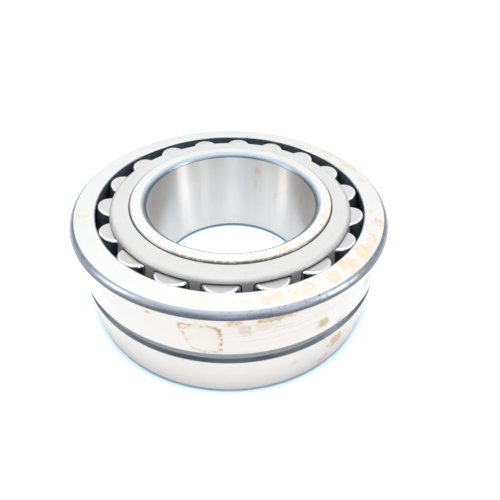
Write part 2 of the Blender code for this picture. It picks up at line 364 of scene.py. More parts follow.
class Nodes:
    """A node tree under construction. Each value is a socket to link, or plain numbers."""

    def __init__(self, tree):
        self.tree = tree

    def node(self, kind, settings=None, **inputs):
        """A shader node with its own settings, and values for its inputs by name."""
        made = self.tree.nodes.new("ShaderNode" + kind)
        for name, value in (settings or {}).items():
            setattr(made, name, value)
        for name, value in inputs.items():
            self.feed(made.inputs[name], value)
        return made

    def feed(self, socket, value):
        if isinstance(value, bpy.types.NodeSocket):
            self.tree.links.new(value, socket)
        else:
            socket.default_value = value

    def math(self, operation, *values, clamp=False):
        made = self.node("Math", {"operation": operation, "use_clamp": clamp})
        for socket, value in zip(made.inputs, values):
            self.feed(socket, value)
        return made.outputs[0]

    def times(self, *values):
        result = values[0]
        for value in values[1:]:
            result = self.math("MULTIPLY", result, value)
        return result

    def most(self, values):
        result = values[0]
        for value in values[1:]:
            result = self.math("MAXIMUM", result, value)
        return result

    def step(self, value, low, high, start=0.0, end=1.0):
        """Smooth change from start to end as value goes from low to high."""
        ends = {"From Min": low, "From Max": high, "To Min": start, "To Max": end}
        made = self.node("MapRange", {"interpolation_type": "SMOOTHSTEP"}, Value=value, **ends)
        return made.outputs["Result"]

    def band(self, value, middle, half):
        """1 where value is middle, falling to 0 at half on either side."""
        away = self.math("ABSOLUTE", self.math("SUBTRACT", value, middle))
        return self.step(away, 0.0, half, 1.0, 0.0)

    def mix(self, factor, a, b, blend="MIX"):
        """Colour b over colour a."""
        made = self.node("Mix", {"data_type": "RGBA", "blend_type": blend})
        self.feed(made.inputs[MIX_FACTOR], factor)
        for index, value in ((MIX_A, a), (MIX_B, b)):
            linked = isinstance(value, bpy.types.NodeSocket)
            self.feed(made.inputs[index], value if linked else (*value, 1.0))
        return made.outputs[MIX_RESULT]


class Finish(Nodes):
    """A material under construction. Lengths in its nodes are millimetres."""

    def __init__(self, name, roughness, metallic=1.0):
        self.material = bpy.data.materials.new(name)
        self.material.use_nodes = True
        super().__init__(self.material.node_tree)
        self.shader = self.tree.nodes["Principled BSDF"]
        self.shader.inputs["Metallic"].default_value = metallic
        self.shader.inputs["Roughness"].default_value = roughness
        self.coordinates = self.node("TexCoord")
        self.place = self.in_millimetres(self.coordinates.outputs["Object"])
        self.x, self.y, self.z = self.node("SeparateXYZ", Vector=self.place).outputs
        self.radius = self.from_axis(self.place)
        self.angle = self.math("ARCTAN2", self.y, self.x)

    def vector(self, operation, *values, **others):
        made = self.node("VectorMath", {"operation": operation}, **others)
        for socket, value in zip(made.inputs, values):
            self.feed(socket, value)
        return made.outputs["Value" if operation == "LENGTH" else "Vector"]

    def in_millimetres(self, place):
        return self.vector("SCALE", place, Scale=1.0 / MM)

    def from_axis(self, place):
        """Distance from the Z axis of a place's own coordinates."""
        return self.vector("LENGTH", self.vector("MULTIPLY", place, (1.0, 1.0, 0.0)))

    def noise(
        self, size, seed, stretch=(1.0, 1.0, 1.0), place=None, detail=4.0, rough=0.55, warp=0.0,
    ):
        """Noise from 0 to 1 with features about size millimetres across."""
        scale = [s / size for s in stretch]
        offset = [seed * s for s in SEED_STEP]
        moved = self.vector("MULTIPLY_ADD", place or self.place, scale, offset)
        made = self.node(
            "TexNoise", Vector=moved, Scale=1.0, Detail=detail, Roughness=rough, Distortion=warp,
        )
        return made.outputs["Fac"]

    def rings(self, pitch, seed, detail=3.0):
        """Concentric turning or grinding lines, which change slowly along their length."""
        drift = self.noise(60.0, seed + 4.0)
        place = self.node("CombineXYZ", X=self.radius, Y=self.z, Z=drift).outputs[0]
        return self.noise(pitch, seed, (1.0, 1.0, 0.4), place, detail)

    def toward(self, degrees_round, tightness):
        """1 on one side of the shaft axis, falling to 0 further round it."""
        offset = self.math("SUBTRACT", self.angle, radians(degrees_round))
        return self.step(self.math("COSINE", offset), 1.0 - tightness, 1.0)

    def patches(self, places, along, wobble, radius=None):
        """Outline and fill of ragged patches, each 0 to 1.

        A place is degrees round, middle, half size round and along, and strength. along is the
        millimetres that middle is given in; round is measured at radius, or else at the middle.
        """
        outlines, fills = [], []
        for degrees_round, middle, half_across, half_along, strength in places:
            turn = self.math("SUBTRACT", self.angle, radians(degrees_round))
            across = self.math("MULTIPLY", turn, (radius or middle) / half_across)
            high = self.math("DIVIDE", self.math("SUBTRACT", along, middle), half_along)
            reach = self.vector("LENGTH", self.node("CombineXYZ", X=across, Y=high).outputs[0])
            reach = self.math("ADD", reach, wobble)
            rim = self.most([self.band(reach, *outline) for outline in PATCH_OUTLINES])
            outlines.append(self.times(rim, strength))
            fills.append(self.times(self.step(reach, *PATCH_FADE, 1.0, 0.0), strength))
        return self.most(outlines), self.most(fills)

    def wobble(self, size, seed, amount):
        """Noise from -amount to amount, which makes an outline ragged."""
        cloud = self.math("SUBTRACT", self.noise(size, seed, detail=6.0, rough=0.62, warp=0.5), 0.5)
        return self.times(cloud, 2.0 * amount)

    def tone(self, colour, value, amount):
        """colour, lighter and darker by amount as value goes from 1 to 0."""
        grey = self.math("MULTIPLY_ADD", value, 2.0 * amount, 1.0 - amount)
        made = self.node("CombineColor", Red=grey, Green=grey, Blue=grey)
        return self.mix(1.0, colour, made.outputs[0], "MULTIPLY")

    def bump(self, height, depth, strength=1.0, under=None):
        """Relief of a given depth in millimetres, over another relief if there is one."""
        made = self.node("Bump", Height=height, Distance=depth * MM, Strength=strength)
        if under is not None:
            self.feed(made.inputs["Normal"], under)
        return made.outputs["Normal"]

    def brushed_round(self, amount):
        """Ground round the shaft axis: reflections are drawn out along it."""
        tangent = self.node("Tangent", {"direction_type": "RADIAL", "axis": "Z"})
        self.feed(self.shader.inputs["Tangent"], tangent.outputs[0])
        self.feed(self.shader.inputs["Anisotropic"], amount)
        self.feed(self.shader.inputs["Anisotropic Rotation"], 0.25)

    def finish(self, colour, roughness=None, normal=None):
        for name, value in (("Base Color", colour), ("Roughness", roughness), ("Normal", normal)):
            if value is not None:
                self.feed(self.shader.inputs[name], value)
        return self.material


def water_stains(f, size, level, seed, width):
    """Outlines and faint fills that dried rusty water leaves on ground steel."""
    cloud = f.noise(size, seed, detail=6.0, rough=0.62, warp=0.6)
    breaks = f.step(f.noise(size * 0.5, seed + 1.0), 0.42, 0.62)
    rim = f.times(f.band(cloud, level, width), breaks)
    fill = f.step(cloud, level, level + 0.05)
    return rim, fill


def ground_face(name, places, rusty_rim=None):
    """Side face of a ring: ground bright, with rusty water marks mostly on one side.

    rusty_rim is the radius in millimetres of a rim with dark rust along its front.
    """
    f = Finish(name, 0.3)
    lines = f.rings(0.35, seed=2.0)
    colour = f.tone(GROUND_SIDE, lines, 0.03)
    colour = f.tone(colour, f.noise(22.0, seed=5.0), 0.03)

    # Loose stains on the right
    region = f.math("ADD", f.toward(-12.0, 1.25), 0.10, clamp=True)
    region = f.times(region, f.step(f.noise(17.0, seed=14.0, detail=3.0), 0.40, 0.62))
    for size, level, seed, width in FACE_WATER:
        rim, fill = water_stains(f, size, level, seed, width)
        colour = f.mix(f.times(fill, region, 0.22), colour, RUST_PALE)
        colour = f.mix(f.times(rim, region, 0.45), colour, RUST)

    # Stains with a place of their own, on the upper face only: fill, then broken thin lines
    outline, fill = f.patches(places, f.radius, f.wobble(3.2, seed=41.0, amount=1.7))
    on_top = f.step(f.z, 0.0, 1.0)
    mottle = f.step(f.noise(2.4, seed=43.0, detail=6.0), 0.36, 0.64, 0.25, 1.0)
    colour = f.mix(f.times(fill, on_top, mottle, 0.45), colour, RUST_PALE)
    broken = f.step(f.noise(2.6, seed=45.0, detail=5.0), 0.36, 0.52)
    creep = f.band(f.noise(6.0, seed=49.0, detail=4.0, warp=0.8), 0.5, 0.022)
    line = f.times(f.math("MAXIMUM", outline, f.times(creep, fill)), on_top, broken)
    colour = f.mix(f.times(line, 0.95), colour, RUST)
    specks = f.step(f.noise(0.9, seed=21.0), 0.70, 0.76)
    colour = f.mix(f.times(specks, region, 0.6), colour, RUST_DEEP)

    if rusty_rim is not None:
        ragged = f.noise(3.0, seed=31.0, detail=6.0)
        edge = f.math("MULTIPLY_ADD", ragged, -1.1, rusty_rim + 0.25)
        past_edge = f.step(f.math("SUBTRACT", f.radius, edge), 0.0, 0.25)
        rust = f.times(past_edge, f.toward(-82.0, 0.6))
        grains = f.step(f.noise(1.1, seed=33.0), 0.3, 0.55)
        colour = f.mix(f.times(rust, grains, 0.8), colour, RUST_DARK)

    rough = f.step(f.noise(14.0, seed=8.0), 0.2, 0.8, *FACE_ROUGHNESS)
    rough = f.math("MULTIPLY_ADD", f.times(fill, on_top), 0.05, rough)
    normal = f.bump(lines, 0.004, 0.5)
    normal = f.bump(f.noise(9.0, seed=6.0, detail=2.0), 0.012, 0.35, normal)
    return f.finish(colour, rough, normal)


def ground_outside():
    """The ground outside diameter, stained, scratched and worn where it was handled."""
    f = Finish("ground_outside", 0.3)
    lines = f.noise(0.45, seed=2.0, stretch=(0.02, 0.02, 1.0), detail=2.0)
    colour = f.tone(GROUND, lines, 0.03)
    colour = f.tone(colour, f.noise(30.0, seed=5.0, stretch=(1.0, 1.0, 1.6)), 0.035)
    haze = f.times(f.step(f.noise(11.0, seed=12.0, detail=3.0), 0.5, 0.75), 0.14)
    colour = f.mix(haze, colour, RUST_PALE)

    # The water mark, darker above, its right side the strongest
    height = f.math("DIVIDE", f.math("SUBTRACT", f.z, MARK_MIDDLE), MARK_HALF_HEIGHT)
    turn = f.math("SUBTRACT", f.angle, MARK_HEADING)
    across = f.math("MULTIPLY_ADD", turn, OUTER_RADIUS / MM, f.times(height, MARK_LEAN))
    half_width = f.math("MULTIPLY_ADD", height, MARK_WIDENING, MARK_HALF_WIDTH)
    across = f.math("DIVIDE", across, half_width)
    sides = [f.math("POWER", f.math("ABSOLUTE", s), MARK_SQUARENESS) for s in (across, height)]
    mark = f.math("POWER", f.math("ADD", *sides), 1.0 / MARK_SQUARENESS)
    mark = f.math("MULTIPLY_ADD", f.wobble(4.0, seed=41.0, amount=1.0), 0.22, mark)
    right = f.step(across, 0.2, 1.0, 0.45, 1.0)
    above = f.step(height, 0.3, 1.0, 0.45, 0.9)
    strength = f.math("MAXIMUM", right, above)
    broken = f.step(f.noise(2.6, seed=43.0, detail=6.0), 0.36, 0.54)
    outline = f.times(f.band(mark, 1.0, 0.15), broken, strength)
    gaps = f.step(f.noise(2.4, seed=45.0, detail=6.0), 0.50, 0.60)
    second = f.times(f.band(mark, 0.84, 0.06), gaps, strength)
    inward = f.step(mark, 0.3, 0.95)
    within = f.times(inward, f.step(mark, 1.0, 1.05, 1.0, 0.0), strength, 0.34)
    colour = f.mix(within, colour, RUST_PALE)
    colour = f.mix(f.times(f.math("MAXIMUM", outline, second), 0.95), colour, WATER_MARK)

    # Smudges, mottled finely
    wobble = f.wobble(3.0, seed=61.0, amount=1.3)
    rim, fill = f.patches(OUTSIDE_STAINS, f.z, wobble, OUTER_RADIUS / MM)
    mottle = f.step(f.noise(1.0, seed=47.0, detail=7.0, rough=0.7), 0.38, 0.58, 0.40, 1.0)
    smudge = f.times(fill, mottle)
    colour = f.mix(f.times(smudge, 0.95), colour, TAN)
    colour = f.mix(f.times(rim, broken, 0.45), colour, TAN)
    stained = f.math("MAXIMUM", outline, smudge)

    # Long scratches on the front that climb slowly, and short ones across them
    scratches = []
    for start, climb, seed in SCRATCHES:
        line = f.math("MULTIPLY_ADD", f.math("SUBTRACT", f.angle, FRONT), climb, start)
        line = f.math("MULTIPLY_ADD", f.noise(9.0, seed), 1.2, line)
        reach = f.times(f.toward(-74.0, 0.09), f.step(f.noise(5.0, seed + 1.0), 0.36, 0.5))
        away = f.math("SUBTRACT", f.z, line)
        scratches.append(f.times(f.band(away, 0.0, SCRATCH_HALF_WIDTH), reach))
    scratch = f.most(scratches)
    short_line = f.noise(1.2, seed=53.0, stretch=(1.0, 1.0, 0.08), detail=1.0)
    nick = f.times(f.step(short_line, 0.76, 0.80), 0.4)
    colour = f.mix(f.times(f.math("MAXIMUM", scratch, nick), 0.55), colour, SCRATCH)

    cloud = f.noise(18.0, seed=8.0, stretch=(1.0, 1.0, 2.0))
    rough = f.step(cloud, 0.2, 0.8, *OUTSIDE_ROUGHNESS)
    rough = f.math("MULTIPLY_ADD", stained, 0.22, rough)
    f.brushed_round(0.4)
    normal = f.bump(f.math("SUBTRACT", 1.0, scratch), 0.006, 0.6)
    return f.finish(colour, rough, normal)


def oxide(name, top, side, worn, roughness):
    """Glossy blue-grey scale left by heat treatment, with pits, rust and nicks to bare steel.

    Its colour goes from side to top as the surface turns to face up or down: painted light and
    shade.
    """
    f = Finish(name, 0.25)
    # Painted shade: lit and shaded copies of the scale, picked by the surface's facing
    facing = f.node("SeparateXYZ", Vector=f.coordinates.outputs["Normal"]).outputs["Z"]
    facing_up_painted_shading = f.step(f.math("ABSOLUTE", facing), 0.32, 0.80)
    lines = f.rings(0.5, seed=3.0)
    colour = f.tone(f.mix(facing_up_painted_shading, side, top), lines, 0.04)
    colour = f.tone(colour, f.noise(9.0, seed=7.0), 0.06)
    region = f.math("ADD", f.toward(-48.0, 0.5), 0.08, clamp=True)
    pits = f.step(f.noise(0.9, seed=23.0, detail=5.0), 0.60, 0.68)
    colour = f.mix(f.times(pits, 0.4 * worn), colour, tuple(0.6 * c for c in side))
    nicks = f.step(f.noise(0.8, seed=13.0, detail=6.0), 0.65, 0.70)
    nicks = f.times(nicks, f.math("ADD", region, 0.3 * worn, clamp=True))
    colour = f.mix(f.times(nicks, 0.8), colour, GROUND)
    rust = f.times(f.step(f.noise(1.9, seed=17.0, detail=7.0, rough=0.7), 0.54, 0.62), region)
    colour = f.mix(f.times(rust, worn), colour, OXIDE_RUST)
    rough = f.step(f.noise(5.0, seed=19.0), 0.3, 0.7, *roughness)
    rough = f.math("MULTIPLY_ADD", f.math("MAXIMUM", nicks, rust), 0.3, rough)
    normal = f.bump(lines, 0.003 * worn, 0.5)
    normal = f.bump(f.math("SUBTRACT", 1.0, nicks), 0.015 * worn, 0.5, normal)
    normal = f.bump(f.math("SUBTRACT", 1.0, pits), 0.012 * worn, 0.5, normal)
    return f.finish(colour, rough, normal)


def ground_bore():
    """The bore: fine ground round its axis, so that it draws reflections out lengthwise."""
    f = Finish("ground_bore", 0.3)
    lines = f.noise(0.16, seed=2.0, stretch=(0.02, 0.02, 1.0), detail=3.0)
    colour = f.tone(BORE, lines, 0.05)
    # Lengthwise streaks in the colour: partly rubbing marks, partly painted reflection streaks
    rubbed_and_reflection_streaks = f.noise(2.6, seed=12.0, stretch=(1.0, 1.0, 0.02), detail=4.0)
    colour = f.tone(colour, rubbed_and_reflection_streaks, 0.06)
    wobble = f.wobble(3.0, seed=81.0, amount=0.9)
    fill = f.patches(BORE_STAINS, f.z, wobble, BORE_RADIUS / MM)[1]
    mottle = f.step(f.noise(1.6, seed=83.0, detail=5.0), 0.35, 0.6, 0.2, 1.0)
    colour = f.mix(f.times(fill, mottle, 0.8), colour, RUST_PALE)
    rough = f.step(f.noise(12.0, seed=8.0), 0.2, 0.8, *BORE_ROUGHNESS)
    f.brushed_round(1.0)
    return f.finish(colour, rough, f.bump(lines, 0.003, 0.5))


def raceway():
    """Honed and oily running track."""
    f = Finish("raceway", 0.12, 0.55)
    lines = f.rings(0.4, seed=6.0)
    colour = f.tone(TRACK, lines, 0.12)
    wear = f.step(f.noise(9.0, seed=7.0, stretch=(1.0, 1.0, 3.0)), 0.55, 0.8)
    colour = f.mix(f.times(wear, 0.5), colour, TRACK_WORN)
    rough = f.step(f.noise(8.0, seed=9.0), 0.3, 0.7, *TRACK_ROUGHNESS)
    return f.finish(colour, rough, f.bump(lines, 0.003, 0.4))


def pressed_sheet(name, seed):
    """Cage sheet: drawn and tumbled to a satin grey, a little tarnished in its folds."""
    f = Finish(name, 0.45, 0.5)
    grain = f.noise(0.45, seed, detail=5.0, rough=0.7)
    colour = f.tone(SHEET, grain, 0.10)
    colour = f.tone(colour, f.noise(13.0, seed + 1.0), 0.05)
    drawn = f.rings(0.8, seed + 2.0)
    colour = f.tone(colour, drawn, 0.05)
    tarnish = f.step(f.noise(4.0, seed + 3.0, detail=6.0, rough=0.65), 0.56, 0.72)
    fold = f.step(f.radius, 72.0, 78.0, 0.12, 1.0)
    colour = f.mix(f.times(tarnish, fold, 0.35), colour, TARNISH)
    rough = f.step(grain, 0.3, 0.7, *SHEET_ROUGHNESS)
    normal = f.bump(grain, 0.010, 0.5)
    normal = f.bump(drawn, 0.008, 0.4, normal)
    return f.finish(colour, rough, normal)


def roller_steel(name, colour, contrast, relief, roughness):
    """Turned lines round a roller's own axis, and light amber stains; no two rollers alike."""
    f = Finish(name, 0.2)
    own = f.node("Attribute", {"attribute_name": "own_place"}).outputs["Vector"]
    own = f.in_millimetres(own)
    along = f.node("SeparateXYZ", Vector=own).outputs["Z"]
    drift = f.noise(30.0, seed=3.0)
    place = f.node("CombineXYZ", X=f.from_axis(own), Y=along, Z=drift).outputs[0]
    lines = f.noise(0.3, seed=4.0, place=place)
    colour = f.tone(colour, lines, contrast)
    colour = f.tone(colour, f.noise(4.0, seed=6.0), 0.05)
    stain = f.step(f.noise(3.6, seed=9.0, detail=6.0, rough=0.65, warp=0.5), 0.56, 0.66)
    colour = f.mix(f.times(stain, 0.42), colour, RUST_PALE)
    spot = f.step(f.noise(1.3, seed=14.0, detail=5.0), 0.68, 0.74)
    colour = f.mix(f.times(spot, 0.45), colour, RUST)
    rough = f.step(f.noise(3.0, seed=8.0), 0.3, 0.7, *roughness)
    return f.finish(colour, rough, f.bump(lines, relief, 0.5))


def floor_finish():
    """White photographic paper with a faint tooth, glowing, with a painted soft shade round the
    bearing's foot.
    """
    f = Finish("white_paper", PAPER_ROUGHNESS, metallic=0.0)
    tooth = f.noise(1.5, seed=2.0, detail=2.0)
    colour = f.tone(PAPER, tooth, 0.006)
    middle = (OUTER_RADIUS + BORE_RADIUS) / 2.0 / MM
    apart = f.math("ABSOLUTE", f.math("SUBTRACT", f.radius, middle))
    apart = f.math("SUBTRACT", apart, (OUTER_RADIUS - BORE_RADIUS) / 2.0 / MM)
    # Painted contact shadow: the paper's glow dims to PAPER_SHADE near the bearing's foot
    glow_with_painted_shade = f.mix(f.step(apart, 0.0, SHADE_REACH), PAPER_SHADE, PAPER_GLOW)
    glow = f.mix(f.step(f.radius, *PAPER_FADE), glow_with_painted_shade, WHITE)
    # The paper glows: painted light
    f.feed(f.shader.inputs["Emission Color"], glow)
    f.feed(f.shader.inputs["Emission Strength"], 1.0)
    f.feed(f.shader.inputs["Specular IOR Level"], 0.2)
    return f.finish(colour, None, f.bump(tooth, 0.01, 0.2))


MATERIALS = {
    "outer_face": ground_face("outer_face", OUTER_FACE_STAINS),
    "inner_face": ground_face("inner_face", INNER_FACE_STAINS, INNER_FACE_RIM),
    "outside": ground_outside(),
    # The oxides get painted light and shade by facing; the groove's upward flank takes the shaded
    # copy
    "oxide": oxide("heat_oxide", OXIDE_TOP_LIT, OXIDE_SIDE_SHADED, 0.80, OXIDE_ROUGHNESS),
    "bore_oxide": oxide(
        "bore_oxide", OXIDE_BORE_TOP_LIT, OXIDE_BORE_SIDE_SHADED, 0.30, INNER_OXIDE_ROUGHNESS,
    ),
    "groove_oxide": oxide(
        "groove_oxide", OXIDE_GROOVE_FLANK_SHADED, OXIDE_GROOVE_FLOOR, 0.20, INNER_OXIDE_ROUGHNESS,
    ),
    "bore": ground_bore(),
    "raceway": raceway(),
    "upper_sheet": pressed_sheet("upper_sheet", seed=3.0),
    "lower_sheet": pressed_sheet("lower_sheet", seed=23.0),
    "barrel": roller_steel("roller_barrel", ROLLER_BARREL, 0.03, 0.002, BARREL_ROUGHNESS),
    "roller_end": roller_steel("roller_end", ROLLER_END, 0.06, 0.005, END_ROUGHNESS),
    "paper": floor_finish(),
}


# ---------------------------------------------------------------- pieces

def outer_ring_profile():
    """From the middle of the raceway over the top to the middle of the groove."""
    edge_angle = asin((HALF_WIDTH - RACEWAY_EDGE) / SPHERE_RADIUS)
    track = arc((0.0, 0.0), SPHERE_RADIUS, 0.0, edge_angle, steps=40)
    face_start = (track[-1][0] + RACEWAY_EDGE, HALF_WIDTH)
    face_end = (OUTER_RADIUS - OUTER_CORNER, HALF_WIDTH)
    outside_start = (OUTER_RADIUS, HALF_WIDTH - OUTER_CORNER)
    groove_foot = (OUTER_RADIUS - GROOVE_DEPTH, GROOVE_HALF_WIDTH - GROOVE_DEPTH)
    turn_in = (OUTER_RADIUS - GROOVE_EDGE, GROOVE_HALF_WIDTH - GROOVE_EDGE)
    above = (OUTER_RADIUS, GROOVE_HALF_WIDTH + GROOVE_EDGE)
    lip_middle = (OUTER_RADIUS - GROOVE_EDGE * 0.25, GROOVE_HALF_WIDTH + GROOVE_EDGE * 0.1)
    tangent = GROOVE_FILLET * tan(GROOVE_SLOPE / 2.0)
    flank_end = (
        groove_foot[0] + tangent * cos(GROOVE_SLOPE),
        groove_foot[1] + tangent * sin(GROOVE_SLOPE),
    )
    floor_start = (groove_foot[0], groove_foot[1] - tangent)
    return [
        ("raceway", track),
        ("outer_face", bulge(track[-1], face_start, RACEWAY_EDGE * RACEWAY_EDGE_FLATNESS, steps=5)),
        ("outer_face", straight(face_start, face_end)),
        ("oxide", bulge(face_end, outside_start, OUTER_CORNER * CORNER_FLATNESS, steps=20)),
        ("outside", straight(outside_start, above)),
        ("groove_oxide", [above, lip_middle, turn_in]),
        ("groove_oxide", straight(turn_in, flank_end)),
        ("groove_oxide", bulge(floor_start, flank_end, GROOVE_FILLET, steps=8)[::-1]),
        ("groove_oxide", straight(floor_start, (groove_foot[0], 0.0))),
    ]


def oil_hole_drills():
    """Three radial drills through the groove floor, with a light countersink."""
    shape = bmesh.new()
    floor_radius = OUTER_RADIUS - GROOVE_DEPTH
    steps = (
        (OIL_HOLE_START, 1.0),
        (floor_radius - SINK_FOOT, 1.0),
        (floor_radius + SINK_TOP, OIL_HOLE_SINK),
        (OUTER_RADIUS, OIL_HOLE_SINK),
    )
    for i in range(OIL_HOLE_COUNT):
        turn = Matrix.Rotation(OIL_HOLE_PHASE + 2.0 * pi * i / OIL_HOLE_COUNT, 4, "Z")
        loops = []
        for reach, wide in steps:
            size = OIL_HOLE_RADIUS * wide
            ring = [(reach, size * cos(a), size * sin(a)) for a in round_angles(OIL_HOLE_SEGMENTS)]
            loops.append([shape.verts.new(turn @ Vector(point)) for point in ring])
        lofted(shape, loops)
    return meshed("oil_holes", shape, ["groove_oxide"])


def lofted(shape, loops):
    """A closed body through a row of loops of equal length."""
    for here, there in zip(loops, loops[1:]):
        for i in range(len(here)):
            k = (i + 1) % len(here)
            shape.faces.new((here[i], here[k], there[k], there[i]))
    shape.faces.new(list(reversed(loops[0])))
    shape.faces.new(loops[-1])


def make_outer_ring():
    finishes = ["raceway", "outer_face", "oxide", "outside", "groove_oxide"]
    mesh = turned("outer_ring_turned", mirrored(outer_ring_profile()), finishes, RING_SEGMENTS)
    ring = add_piece("outer_ring_turned", mesh, "outer_ring")
    cut(ring, oil_hole_drills())


def inner_ring_profile():
    """From the middle of the bore over the top to the middle of the land between the raceways."""
    bore_end = (BORE_RADIUS, HALF_WIDTH - BORE_CORNER)
    face_start = (BORE_RADIUS + BORE_CORNER, HALF_WIDTH)
    gap_side = ROLLER_CENTRE - ROLLER_OUTWARD * (ROLLER_DIAMETER / 2.0 + RUNNING_GAP)
    centre = gap_side + ROLLER_OUTWARD * BARREL_RADIUS
    face_side = pi + asin((centre.y - HALF_WIDTH + INNER_CORNER) / BARREL_RADIUS)
    middle_side = pi + acos((centre.x - INNER_MIDDLE_RADIUS) / BARREL_RADIUS)
    track = arc(centre, BARREL_RADIUS, face_side, middle_side, steps=30)
    face_end = (track[0][0] - INNER_CORNER, HALF_WIDTH)
    return [
        ("bore", straight((BORE_RADIUS, 0.0), bore_end)),
        ("bore_oxide", bulge(bore_end, face_start, BORE_CORNER * CORNER_FLATNESS, steps=18)),
        ("inner_face", straight(face_start, face_end)),
        ("inner_face", bulge(face_end, track[0], INNER_CORNER * INNER_CORNER_FLATNESS, steps=6)),
        ("raceway", track),
        ("raceway", straight(track[-1], (INNER_MIDDLE_RADIUS, 0.0))),
    ]


def make_inner_ring():
    finishes = ["bore", "bore_oxide", "inner_face", "raceway"]
    mesh = turned("inner_ring_turned", mirrored(inner_ring_profile()), finishes, RING_SEGMENTS)
    add_piece("inner_ring_turned", mesh, "inner_ring")


def end_face_height(radius):
    """Height of the rollers' inner end faces at a radius from the shaft axis."""
    end = ROLLER_CENTRE - ROLLER_AXIS * (ROLLER_LENGTH / 2.0)
    return end.y + (radius - end.x) * tan(CONTACT_ANGLE)


def make_guide_ring():
    """A plain ring whose faces lie along the roller ends, with broken edges."""
    slack = END_GAP / cos(CONTACT_ANGLE)
    low = (GUIDE_INNER_RADIUS, end_face_height(GUIDE_INNER_RADIUS) - slack)
    high = (GUIDE_OUTER_RADIUS, end_face_height(GUIDE_OUTER_RADIUS) - slack)
    slope = (Vector(high) - Vector(low)).normalized() * GUIDE_EDGE
    face_start = Vector(low) + slope
    face_end = Vector(high) - slope
    inner_foot = (low[0], low[1] - GUIDE_EDGE)
    outer_foot = (high[0], high[1] - GUIDE_EDGE)
    profile = [
        ("raceway", straight((low[0], 0.0), inner_foot)),
        ("raceway", [inner_foot, tuple(face_start)]),
        ("raceway", straight(face_start, face_end)),
        ("raceway", [tuple(face_end), outer_foot]),
        ("raceway", straight(outer_foot, (high[0], 0.0))),
    ]
    mesh = turned("guide_ring_turned", mirrored(profile), ["raceway"], RING_SEGMENTS)
    add_piece("guide_ring_turned", mesh, "guide_ring")


def wall_middle():
    """Where the cage wall's outer surface passes the middle of the rollers."""
    return ROLLER_CENTRE + ROLLER_OUTWARD * (CAGE_THICKNESS / 2.0 + CAGE_OFFSET)


def cage_profile(finish):
    """Outline of the pressed sheet: flange, rolled corner and conical wall, all edges broken."""
    down = -ROLLER_AXIS
    on_wall = wall_middle()
    inside_line = on_wall - ROLLER_OUTWARD * CAGE_CORNER
    corner_height = CAGE_FLANGE_TOP - CAGE_CORNER
    centre = inside_line + down * ((corner_height - inside_line.y) / down.y)
    outer = arc(centre, CAGE_CORNER, pi / 2.0, CONTACT_ANGLE, steps=12)
    inner = arc(centre, CAGE_CORNER - CAGE_THICKNESS, CONTACT_ANGLE, pi / 2.0, steps=8)
    wall_end = on_wall + down * ((CAGE_END - on_wall.y) / down.y)
    inner_end = wall_end - Vector((CAGE_THICKNESS / cos(CONTACT_ANGLE), 0.0))
    bottom = CAGE_FLANGE_TOP - CAGE_THICKNESS
    lower_edge = (CAGE_FLANGE_INNER + SHEET_EDGE, bottom)
    edge_low = (CAGE_FLANGE_INNER, bottom + SHEET_EDGE)
    edge_high = (CAGE_FLANGE_INNER, CAGE_FLANGE_TOP - SHEET_EDGE)
    upper_edge = (CAGE_FLANGE_INNER + SHEET_EDGE, CAGE_FLANGE_TOP)
    foot_out = wall_end - down * SHEET_EDGE
    foot_in = inner_end - down * SHEET_EDGE
    points = bulge(lower_edge, edge_low, SHEET_EDGE, steps=3)
    points += bulge(edge_high, upper_edge, SHEET_EDGE, steps=3)
    points += straight(upper_edge, outer[0]) + outer + straight(outer[-1], foot_out)
    points += [(wall_end.x - SHEET_EDGE, wall_end.y), (inner_end.x + SHEET_EDGE, inner_end.y)]
    points += straight(foot_in, inner[0]) + inner + straight(inner[-1], lower_edge)
    return [(finish, points)]


def roller_matrix(spin):
    """A roller's place from its joint: Z along its own axis, X facing outward."""
    centre = Vector(spin["pos_m"])
    axis = Vector(spin["axis"]).normalized()
    outward = Vector((centre.x, centre.y, 0.0))
    outward = (outward - axis * outward.dot(axis)).normalized()
    turn = Matrix((outward, axis.cross(outward), axis)).transposed().to_4x4()
    return Matrix.Translation(centre) @ turn


def barrel_rim():
    """Radius of the barrel where its rounded edges begin."""
    reach = ROLLER_LENGTH / 2.0 - ROLLER_EDGE
    return ROLLER_DIAMETER / 2.0 - BARREL_RADIUS + sqrt(BARREL_RADIUS ** 2 - reach ** 2)


def pocket_outline(grown):
    """Outline (across, along) of a pocket: barrel-shaped sides and rounded corners."""
    half_length = ROLLER_LENGTH / 2.0 + POCKET_GAP + grown
    middle = ROLLER_DIAMETER / 2.0 + POCKET_GAP + grown
    end_width = barrel_rim() + POCKET_GAP + grown
    corner = POCKET_CORNER + grown
    straight_end = half_length - corner
    side = [
        (
            middle - (middle - end_width) * (i / POCKET_SIDE_STEPS) ** 2,
            straight_end * i / POCKET_SIDE_STEPS,
        )
        for i in range(POCKET_SIDE_STEPS)
    ]
    turn = arc((end_width - corner, straight_end), corner, 0.0, pi / 2.0, steps=7)
    quarter = side + turn
    upper = quarter + [(-a, b) for a, b in reversed(quarter)]
    return upper + [(-a, -b) for a, b in upper[1:-1]]


def wall_reach(place, across, along):
    """Distance from a roller's axis plane out to the cage wall's outer surface."""
    low, high = 0.0, ROLLER_DIAMETER
    slant = wall_middle().dot(ROLLER_OUTWARD)
    side = 1.0 if place.translation.z > 0.0 else -1.0
    for _ in range(BISECTIONS):
        reach = (low + high) / 2.0
        point = place @ Vector((reach, across, along))
        flat = Vector((point.xy.length, point.z * side))
        if flat.dot(ROLLER_OUTWARD) < slant:
            low = reach
        else:
            high = reach
    return reach


